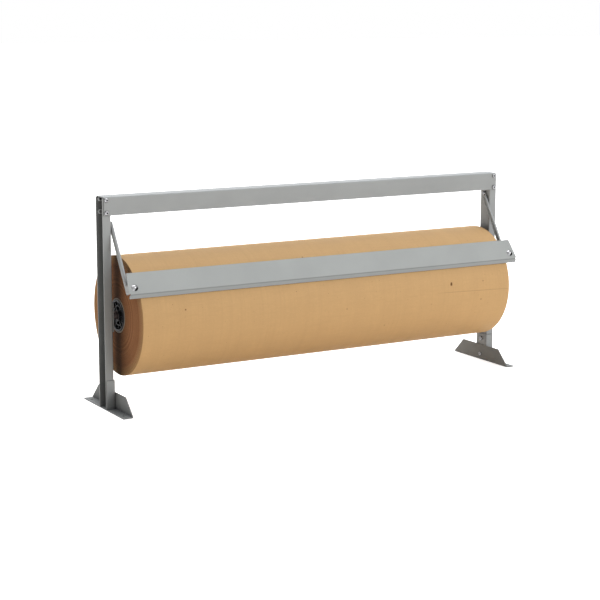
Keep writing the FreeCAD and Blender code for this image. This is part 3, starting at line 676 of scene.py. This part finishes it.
def dress(node_name, material, edge_radius=0.0):
    """Give a carried-over piece its finish, and break its corners by a small radius if any."""
    piece = NODES[node_name]
    for slot in piece.material_slots:
        slot.material = material
    weld = piece.modifiers.new("weld_seams", "WELD")
    weld.merge_threshold = WELD_DISTANCE
    flat = piece.modifiers.new("whole_faces", "DECIMATE")
    flat.decimate_type = "DISSOLVE"
    flat.angle_limit = FLAT_ANGLE
    smooth = piece.modifiers.new("crisp_edges", "NODES")
    smooth.node_group = crisp_edges()
    if edge_radius:
        broken = piece.modifiers.new("broken_edges", "BEVEL")
        broken.width = edge_radius
        broken.segments = BROKEN_SEGMENTS
        broken.limit_method = "ANGLE"
        broken.angle_limit = BROKEN_ANGLE
        even = piece.modifiers.new("even_shading", "WEIGHTED_NORMAL")
        even.keep_sharp = True


# ---------------------------------------------------------------- wound paper

# Gap between the paper's bore and the cardboard core.
BORE_GAP = 0.0001
CORNER_STEPS = 3
OUTER_FACE, END_FACE = 0, 1
SHARP_ANGLE = math.radians(50)

# How fast the set-back of single plies, of their drift and of their lean changes with the radius,
# how fast the lean changes around the roll, and each one's share of the stagger.
PLY_RATE, DRIFT_RATE, LEAN_RATE = 900.0, 55.0, 20.0
LEAN_ROUND = 0.8
PLY_SHARE, DRIFT_SHARE, LEAN_SHARE = 0.25, 0.5, 0.25
# Places in the noise that keep the drift off the plies and the two ends apart.
PLY_SIDE, DRIFT_ROW, DRIFT_SIDE = 7.0, 3.0, 2.0


def end_set_back(radius, turn, side, stagger):
    """How far an edge of the wound paper lies inside the roll's widest end, in metres."""
    ply_place = Vector((radius * PLY_RATE, 0.0, side * PLY_SIDE))
    drift_place = Vector((radius * DRIFT_RATE, DRIFT_ROW, side * DRIFT_SIDE))
    lean_place = Vector((
        math.cos(turn) * LEAN_ROUND,
        math.sin(turn) * LEAN_ROUND,
        radius * LEAN_RATE + side,
    ))
    ply = abs(noise.noise(ply_place))
    drift = noise.noise(drift_place) * 0.5 + 0.5
    lean = noise.noise(lean_place) * 0.5 + 0.5
    return stagger * (PLY_SHARE * ply + DRIFT_SHARE * drift + LEAN_SHARE * lean)


def end_profile(side, paper):
    """One end from the bore to the outer face, as rows of radius, side and extra set-back."""
    corner = paper.corner_radius
    bore = CORE_RADIUS + BORE_GAP
    flat = ROLL_RADIUS - corner
    rows = []
    for step in range(paper.ply_bands + 1):
        rows.append((bore + (flat - bore) * step / paper.ply_bands, side, 0.0))
    for step in range(1, CORNER_STEPS + 1):
        turn = math.radians(90 / CORNER_STEPS * step)
        rows.append((flat + corner * math.sin(turn), side, corner * (1 - math.cos(turn))))
    return rows


def wound_paper(paper):
    """Mesh of the paper: a slightly soft outer face and two ends made of staggered plies."""
    left = end_profile(-1, paper)
    right = end_profile(1, paper)
    flat = ROLL_RADIUS - paper.corner_radius
    built = bmesh.new()
    loops = []
    for radius, side, extra in left + right[::-1]:
        loop = []
        for step in range(paper.around):
            turn = 2 * math.pi * step / paper.around
            back = end_set_back(min(radius, flat), turn, side, paper.ply_stagger) + extra
            x = side * (ROLL_END - back)
            y = ROLL_AXIS.y + radius * math.cos(turn)
            z = ROLL_AXIS.z + radius * math.sin(turn)
            loop.append(built.verts.new((x, y, z)))
        loops.append(loop)

    for index, here in enumerate(loops):
        following = loops[(index + 1) % len(loops)]
        part = OUTER_FACE if index == len(left) - 1 else END_FACE
        for step in range(paper.around):
            ahead = (step + 1) % paper.around
            made = built.faces.new((here[step], here[ahead], following[ahead], following[step]))
            made.material_index = part
            made.smooth = True
    built.normal_update()
    bmesh.ops.recalc_face_normals(built, faces=built.faces)
    mesh = bpy.data.meshes.new("wound_paper")
    built.to_mesh(mesh)
    built.free()
    mesh.set_sharp_from_angle(angle=SHARP_ANGLE)
    return mesh


# ---------------------------------------------------------------- studio

CAMERA_PLACE = Vector((-1.96133, -3.33477, 0.91175))
CAMERA_YAW = math.radians(30.16)
CAMERA_PITCH = math.radians(10.39)
CAMERA_ROLL = math.radians(0.11)
CAMERA_LENS = 97.85
SENSOR_WIDTH = 36.0
CLIP_START, CLIP_END = 0.05, 80.0

# The soft light grows from the left to the right between these X parts of its direction.
LIGHT_LEFT, LIGHT_RIGHT = -0.6, 0.6
KEY_FROM = Vector((0.50, -0.74, 0.45)).normalized()
TOP_FROM = Vector((0.10, 0.40, 0.90)).normalized()
LAMP_DISTANCE = 3.0

# How far the floor lies under the feet.
FLOOR_DROP = 0.0003
FLOOR_WEAVE = (EVEN, 0.004, 3.0, 0.5)
FLOOR_TONES = ((0.9, 0.9, 0.9, 1.0), (0.94, 0.94, 0.94, 1.0))


def camera_turn():
    """Rotation of a camera that looks along +Y, turned right, tipped down and rolled."""
    ahead = Vector((
        math.sin(CAMERA_YAW) * math.cos(CAMERA_PITCH),
        math.cos(CAMERA_YAW) * math.cos(CAMERA_PITCH),
        -math.sin(CAMERA_PITCH),
    ))
    right = Vector((math.cos(CAMERA_YAW), -math.sin(CAMERA_YAW), 0.0))
    up = right.cross(ahead)
    tilted_right = right * math.cos(CAMERA_ROLL) + up * math.sin(CAMERA_ROLL)
    tilted_up = up * math.cos(CAMERA_ROLL) - right * math.sin(CAMERA_ROLL)
    return Matrix((tilted_right, tilted_up, -ahead)).transposed()


def add_camera(scene):
    """Camera at the viewing angle."""
    data = bpy.data.cameras.new("view_camera")
    data.sensor_width = SENSOR_WIDTH
    data.lens = CAMERA_LENS
    data.clip_start = CLIP_START
    data.clip_end = CLIP_END
    camera = bpy.data.objects.new("view_camera", data)
    camera.matrix_world = Matrix.Translation(CAMERA_PLACE) @ camera_turn().to_4x4()
    scene.collection.objects.link(camera)
    scene.camera = camera


def add_soft_light(scene, name, source, strength, softness):
    """Very soft light from one direction, level along the whole roll."""
    data = bpy.data.lights.new(name, "SUN")
    data.energy = strength
    data.angle = softness
    lamp = bpy.data.objects.new(name, data)
    lamp.rotation_mode = "QUATERNION"
    lamp.rotation_quaternion = source.to_track_quat("Z", "Y")
    lamp.location = source * LAMP_DISTANCE
    scene.collection.objects.link(lamp)


def seen_directly(tree):
    """1 for rays from the camera and for mirrored and refracted ones, 0 for soft light."""
    path = add_node(tree, "LightPath").outputs
    seen = arithmetic(tree, "MAXIMUM", path["Is Camera Ray"], path["Is Glossy Ray"])
    return arithmetic(tree, "MAXIMUM", seen, path["Is Transmission Ray"])


def add_world(scene, studio):
    """Soft light from above, the front and the right, dim from the left, white where seen."""
    world = bpy.data.worlds.new("studio_light")
    world.use_nodes = True
    tree = world.node_tree
    tree.nodes.clear()
    direction = axes_of(tree, add_node(tree, "TexCoord").outputs["Generated"])
    above = remap(tree, direction["Z"], 0.0, 1.0, studio.horizon_light, studio.zenith_light)
    rightness = remap(tree, direction["X"], LIGHT_LEFT, LIGHT_RIGHT)
    main = arithmetic(tree, "MULTIPLY", rightness, above)
    side = remap(tree, direction["X"], LIGHT_LEFT, LIGHT_RIGHT, studio.left_light, 0.0)
    level = arithmetic(tree, "ADD", main, side)
    soft = add_node(tree, "Background", {"Color": WHITE, "Strength": level}).outputs[0]
    plain = add_node(tree, "Background", {"Color": WHITE, "Strength": 1.0}).outputs[0]
    mixed = add_node(tree, "MixShader", {0: seen_directly(tree), 1: soft, 2: plain})
    add_node(tree, "OutputWorld", {"Surface": mixed.outputs[0]})
    scene.world = world


def floor_finish(studio):
    """Pale matt floor, seen as white but for the shadow on it, that throws back less light."""
    material, tree = new_finish("pale_floor")
    weave = remap(tree, grain(tree, *FLOOR_WEAVE), *NOISE_SPAN)
    tone = blend_colour(tree, weave, *FLOOR_TONES)
    lit = add_node(tree, "BsdfDiffuse", {"Color": tone}).outputs[0]
    glow = add_node(tree, "Emission", {"Color": WHITE, "Strength": studio.floor_white}).outputs[0]
    shown = add_node(tree, "AddShader", {0: glow, 1: lit}).outputs[0]
    dull = add_node(tree, "BsdfDiffuse", {"Color": tinted(studio.floor_bounce)}).outputs[0]
    mixed = add_node(tree, "MixShader", {0: seen_directly(tree), 1: dull, 2: shown})
    add_node(tree, "OutputMaterial", {"Surface": mixed.outputs[0]})
    return material


def add_floor(scene, studio):
    """Wide floor just under the feet."""
    reach = studio.floor_reach
    mesh = bpy.data.meshes.new("floor")
    corners = [
        (x * reach, y * reach, -FLOOR_DROP) for x, y in ((-1, -1), (1, -1), (1, 1), (-1, 1))
    ]
    mesh.from_pydata(corners, [], [(0, 1, 2, 3)])
    mesh.materials.append(floor_finish(studio))
    floor = bpy.data.objects.new("floor", mesh)
    scene.collection.objects.link(floor)


# ---------------------------------------------------------------- settings

class StandPaint(PropertyGroup):
    """Enamel on the sheet steel."""
    frame_colour: FloatVectorProperty(
        name="Frame colour", description="Enamel of the rail, uprights, sockets, hooks and arms",
        subtype="COLOR", default=(0.294, 0.311, 0.321), min=0.0, max=1.0)
    bar_colour: FloatVectorProperty(
        name="Bar colour", description="Enamel of the cutter bar",
        subtype="COLOR", default=(0.308, 0.327, 0.328), min=0.0, max=1.0)
    # Painted shade: the lip's colour is darker than the bar's and stands for the shade on the lip.
    lip_shade_colour: FloatVectorProperty(
        name="Lip colour", description="Lip of the cutter bar, where the paper has rubbed it",
        subtype="COLOR", default=(0.255, 0.276, 0.288), min=0.0, max=1.0)
    foot_colour: FloatVectorProperty(
        name="Foot colour", description="Enamel of the two foot plates",
        subtype="COLOR", default=(0.205, 0.216, 0.220), min=0.0, max=1.0)
    roughness: FloatProperty(
        name="Roughness", description="Middle roughness of the enamel",
        subtype="FACTOR", default=0.42, min=0.1, max=1.0)
    foot_roughness: FloatProperty(
        name="Foot roughness", description="Middle roughness of the foot plates' enamel",
        subtype="FACTOR", default=0.6, min=0.1, max=1.0)
    flake: FloatProperty(
        name="Metal flake", description="Share of the enamel that shines like metal flake",
        subtype="FACTOR", default=0.04, min=0.0, max=1.0)
    # Painted shade: the cavity and shelter settings darken the enamel's colour in channels and
    # beside the roll.
    cavity_reach: FloatProperty(
        name="Cavity reach", description="How deep a channel has to be to look dark inside",
        unit="LENGTH", default=0.035, min=0.001, max=0.2, precision=4)
    cavity_shade: FloatProperty(
        name="Cavity shade", description="Share of its colour that the enamel keeps in a channel",
        subtype="FACTOR", default=0.5, min=0.0, max=1.0)
    shelter_reach: FloatProperty(
        name="Shelter reach", description="How near the roll has to be to darken the frame",
        unit="LENGTH", default=0.12, min=0.01, max=0.5, precision=3)
    shelter_shade: FloatProperty(
        name="Shelter shade", description="Share of its colour that the frame keeps by the roll",
        subtype="FACTOR", default=0.58, min=0.0, max=1.0)
    # Painted shade: the seam settings darken the enamel's colour where two pieces meet, as the
    # shade in the gap.
    seam_reach: FloatProperty(
        name="Seam reach", description="Width of the dirt line where two pieces meet",
        unit="LENGTH", default=0.003, min=0.0005, max=0.02, precision=4)
    seam_shade: FloatProperty(
        name="Seam shade", description="Share of its colour that the enamel keeps in the dirt line",
        subtype="FACTOR", default=0.5, min=0.0, max=1.0)
    peel_size: FloatProperty(
        name="Orange peel", description="Size of the enamel's orange peel",
        unit="LENGTH", default=0.0014, min=0.0002, max=0.01, precision=4)
    wear_width: FloatProperty(
        name="Wear width", description="Width of the rubbed band along sharp edges",
        unit="LENGTH", default=0.0009, min=0.0001, max=0.01, precision=4)
    edge_radius: FloatProperty(
        name="Edge radius", description="Radius on the edges of the sheet steel",
        unit="LENGTH", default=0.0003, min=0.0, max=0.001, precision=4)


class PaperLook(PropertyGroup):
    """Kraft paper and the roll it is wound into."""
    face_colour: FloatVectorProperty(
        name="Paper colour", description="Face of the kraft paper",
        subtype="COLOR", default=(0.588, 0.378, 0.184), min=0.0, max=1.0)
    edge_colour: FloatVectorProperty(
        name="End colour", description="Slit edges of the wound paper",
        subtype="COLOR", default=(0.388, 0.178, 0.084), min=0.0, max=1.0)
    speck_colour: FloatVectorProperty(
        name="Speck colour", description="Dark bark specks and knots in the paper",
        subtype="COLOR", default=(0.14, 0.07, 0.03), min=0.0, max=1.0)
    ply_bands: IntProperty(
        name="Ply bands", description="Rings modelled on each end of the roll",
        default=110, min=8, max=400)
    around: IntProperty(
        name="Steps around", description="Facets around the roll",
        default=192, min=48, max=512)
    ply_stagger: FloatProperty(
        name="Ply stagger", description="How unevenly the plies end",
        unit="LENGTH", default=0.0012, min=0.0, max=0.01, precision=4)
    ply_relief: FloatProperty(
        name="Ply relief", description="Depth of the fine ridges that the slit edges make",
        unit="LENGTH", default=0.0012, min=0.0, max=0.01, precision=4)
    corner_radius: FloatProperty(
        name="Soft corner", description="Rounding of the roll's outer corners",
        unit="LENGTH", default=0.0006, min=0.0001, max=0.005, precision=4)


class FittingLook(PropertyGroup):
    """Screws, nuts, shaft, plugs and core."""
    bright_colour: FloatVectorProperty(
        name="Bright plating", description="Domed heads on the cutter bar",
        subtype="COLOR", default=(0.38, 0.38, 0.39), min=0.0, max=1.0)
    screw_colour: FloatVectorProperty(
        name="Screw plating", description="Screws and bolts of the frame",
        subtype="COLOR", default=(0.36, 0.36, 0.37), min=0.0, max=1.0)
    zinc_colour: FloatVectorProperty(
        name="Zinc plating", description="Nuts and washers",
        subtype="COLOR", default=(0.66, 0.67, 0.66), min=0.0, max=1.0)
    shaft_colour: FloatVectorProperty(
        name="Shaft steel", description="Drawn steel of the shaft and spring steel of its clips",
        subtype="COLOR", default=(0.20, 0.165, 0.16), min=0.0, max=1.0)
    plug_colour: FloatVectorProperty(
        name="Plug plastic", description="Moulded end plugs",
        subtype="COLOR", default=(0.012, 0.013, 0.015), min=0.0, max=1.0)
    core_colour: FloatVectorProperty(
        name="Core board", description="Cardboard core",
        subtype="COLOR", default=(0.27, 0.235, 0.20), min=0.0, max=1.0)
    head_radius: FloatProperty(
        name="Head edge", description="Radius on the edges of screws, nuts, clips and plugs",
        unit="LENGTH", default=0.0002, min=0.0, max=0.001, precision=4)


class StudioLook(PropertyGroup):
    """Floor and light."""
    floor_reach: FloatProperty(
        name="Floor reach", description="Half the width of the floor",
        unit="LENGTH", default=30.0, min=2.0, max=40.0)
    floor_white: FloatProperty(
        name="Floor white", description="White that the floor shows even in the deepest shadow",
        subtype="FACTOR", default=0.72, min=0.0, max=1.0)
    floor_bounce: FloatVectorProperty(
        name="Floor bounce", description="Colour of the light that the floor throws back",
        subtype="COLOR", default=(0.84, 0.78, 0.69), min=0.0, max=1.0)
    left_light: FloatProperty(
        name="Left light", description="Level of the soft light from the left",
        default=0.15, min=0.0, max=3.0)
    horizon_light: FloatProperty(
        name="Horizon light", description="Level of the soft light along the horizon",
        default=0.36, min=0.0, max=3.0)
    zenith_light: FloatProperty(
        name="Zenith light", description="Level of the soft light from straight above",
        default=1.15, min=0.0, max=3.0)
    key_strength: FloatProperty(
        name="Key strength", description="Strength of the light from the front right",
        default=1.1, min=0.0, max=10.0)
    key_softness: FloatProperty(
        name="Key softness", description="Width of the key light as an angle", subtype="ANGLE",
        default=math.radians(45.0), min=math.radians(1.0), max=math.radians(120.0))
    top_strength: FloatProperty(
        name="Top strength", description="Strength of the light from above and behind",
        default=2.7, min=0.0, max=10.0)
    top_softness: FloatProperty(
        name="Top softness", description="Width of the top light as an angle", subtype="ANGLE",
        default=math.radians(60.0), min=math.radians(1.0), max=math.radians(120.0))


# ---------------------------------------------------------------- operators

class STAND_OT_paint_frame(Operator):
    """Enamel the rail, uprights, foot sockets and shaft hooks"""
    bl_idname = "stand.paint_frame"
    bl_label = "Paint Frame"

    def execute(self, context):
        look = context.scene.stand_paint
        grey = enamel("silver_grey_enamel", look.frame_colour, look, look.roughness, ENAMEL_GLOSS,
                      look.cavity_shade, shelter_shade=look.shelter_shade)
        for name in GREY_NODES:
            dress(name, grey, look.edge_radius)
        return {"FINISHED"}


class STAND_OT_paint_feet(Operator):
    """Enamel the two bent foot plates"""
    bl_idname = "stand.paint_feet"
    bl_label = "Paint Feet"

    def execute(self, context):
        look = context.scene.stand_paint
        matt = enamel("foot_enamel", look.foot_colour, look, look.foot_roughness, FOOT_GLOSS,
                      look.cavity_shade)
        for name in FOOT_NODES:
            dress(name, matt, look.edge_radius)
        return {"FINISHED"}


class STAND_OT_paint_cutter(Operator):
    """Enamel the cutter bar and the arms it hangs on"""
    bl_idname = "stand.paint_cutter"
    bl_label = "Paint Cutter"

    def execute(self, context):
        look = context.scene.stand_paint
        arm_grey = enamel("arm_enamel", look.frame_colour, look, look.roughness, ENAMEL_GLOSS,
                          ARM_CHANNEL_PAINTED_LIGHT)
        bar_grey = enamel("bar_enamel", look.bar_colour, look, look.roughness, ENAMEL_GLOSS,
                          NO_SHADE, lip_shade_colour=look.lip_shade_colour)
        for name in ARM_NODES:
            dress(name, arm_grey, look.edge_radius)
        dress("cutter_bar", bar_grey, look.edge_radius)
        return {"FINISHED"}


class STAND_OT_plate_fasteners(Operator):
    """Plate the screws, bolts, nuts and washers"""
    bl_idname = "stand.plate_fasteners"
    bl_label = "Plate Fasteners"

    def execute(self, context):
        look = context.scene.stand_fittings
        screw = steel("screw_plated_steel", look.screw_colour, roughness=0.32, rim_shade=0.12)
        dome = steel("dome_plated_steel", look.bright_colour, roughness=0.2, rim_shade=0.02,
                     dark_reflection_side=DARK_REFLECTION_SIDE)
        zinc = steel("zinc_plated_steel", look.zinc_colour, roughness=0.5, rim_shade=0.7)
        dress("bar_bolts", dome, look.head_radius)
        for name in SCREW_NODES:
            dress(name, screw, look.head_radius)
        for name in ZINC_NODES:
            dress(name, zinc, look.head_radius)
        return {"FINISHED"}


class STAND_OT_finish_shaft(Operator):
    """Finish the drawn steel shaft and its retaining clips"""
    bl_idname = "stand.finish_shaft"
    bl_label = "Finish Shaft"

    def execute(self, context):
        look = context.scene.stand_fittings
        drawn = steel("drawn_steel", look.shaft_colour, roughness=0.42, rim_shade=0.25,
                      table=TURNED_PATTERNS)
        spring = steel("spring_steel", look.shaft_colour, roughness=0.45, rim_shade=0.3)
        dress("core_shaft", drawn)
        dress("shaft_clips", spring, look.head_radius)
        return {"FINISHED"}


class STAND_OT_mould_plugs(Operator):
    """Finish the moulded plugs in the ends of the core"""
    bl_idname = "stand.mould_plugs"
    bl_label = "Mould Plugs"

    def execute(self, context):
        look = context.scene.stand_fittings
        black = moulded_plastic("black_moulded_plastic", look.plug_colour)
        for name in PLUG_NODES:
            dress(name, black, look.head_radius)
        return {"FINISHED"}


class STAND_OT_finish_core(Operator):
    """Finish the cardboard core"""
    bl_idname = "stand.finish_core"
    bl_label = "Finish Core"

    def execute(self, context):
        look = context.scene.stand_fittings
        dress("cardboard_core", core_board("wound_cardboard", look.core_colour))
        return {"FINISHED"}


class STAND_OT_wind_paper(Operator):
    """Wind the roll of kraft paper, with its slightly uneven ends"""
    bl_idname = "stand.wind_paper"
    bl_label = "Wind Paper"

    def execute(self, context):
        paper = context.scene.stand_paper
        mesh = wound_paper(paper)
        mesh.materials.append(kraft_face("kraft_face", paper))
        mesh.materials.append(kraft_edge("kraft_edge", paper))
        roll = bpy.data.objects.new("wound_paper", mesh)
        context.scene.collection.objects.link(roll)
        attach(roll, "roll")
        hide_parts("paper_roll")
        return {"FINISHED"}


class STAND_OT_set_stage(Operator):
    """Set the floor, the light and the camera"""
    bl_idname = "stand.set_stage"
    bl_label = "Set Stage"

    def execute(self, context):
        scene = context.scene
        studio = scene.stand_studio
        scene.view_settings.view_transform = "Standard"
        add_floor(scene, studio)
        add_world(scene, studio)
        add_soft_light(scene, "key_light", KEY_FROM, studio.key_strength, studio.key_softness)
        add_soft_light(scene, "top_light", TOP_FROM, studio.top_strength, studio.top_softness)
        add_camera(scene)
        return {"FINISHED"}


STEPS = (
    STAND_OT_paint_frame,
    STAND_OT_paint_feet,
    STAND_OT_paint_cutter,
    STAND_OT_plate_fasteners,
    STAND_OT_finish_shaft,
    STAND_OT_mould_plugs,
    STAND_OT_finish_core,
    STAND_OT_wind_paper,
    STAND_OT_set_stage,
)
SETTINGS = {
    "stand_paint": StandPaint,
    "stand_paper": PaperLook,
    "stand_fittings": FittingLook,
    "stand_studio": StudioLook,
}


class STAND_PT_steps(Panel):
    """Steps that finish the stand, with their settings"""
    bl_idname = "STAND_PT_steps"
    bl_label = "Paper Stand"
    bl_space_type = "VIEW_3D"
    bl_region_type = "UI"
    bl_category = "Paper Stand"

    def draw(self, context):
        for step in STEPS:
            self.layout.operator(step.bl_idname)
        for name, kind in SETTINGS.items():
            box = self.layout.box()
            box.label(text=kind.__doc__)
            for setting in kind.__annotations__:
                box.prop(getattr(context.scene, name), setting)


def register():
    """Add the settings, steps and panel."""
    for name, kind in SETTINGS.items():
        bpy.utils.register_class(kind)
        setattr(bpy.types.Scene, name, PointerProperty(type=kind))
    for kind in STEPS + (STAND_PT_steps,):
        bpy.utils.register_class(kind)


def unregister():
    """Take the settings, steps and panel away."""
    for kind in reversed(STEPS + (STAND_PT_steps,)):
        bpy.utils.unregister_class(kind)
    for name, kind in SETTINGS.items():
        delattr(bpy.types.Scene, name)
        bpy.utils.unregister_class(kind)


def main():
    """Finish the whole stand."""
    register()
    for step in STEPS:
        group, action = step.bl_idname.split(".")
        getattr(getattr(bpy.ops, group), action)()
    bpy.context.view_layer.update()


if __name__ == "__main__":
    main()
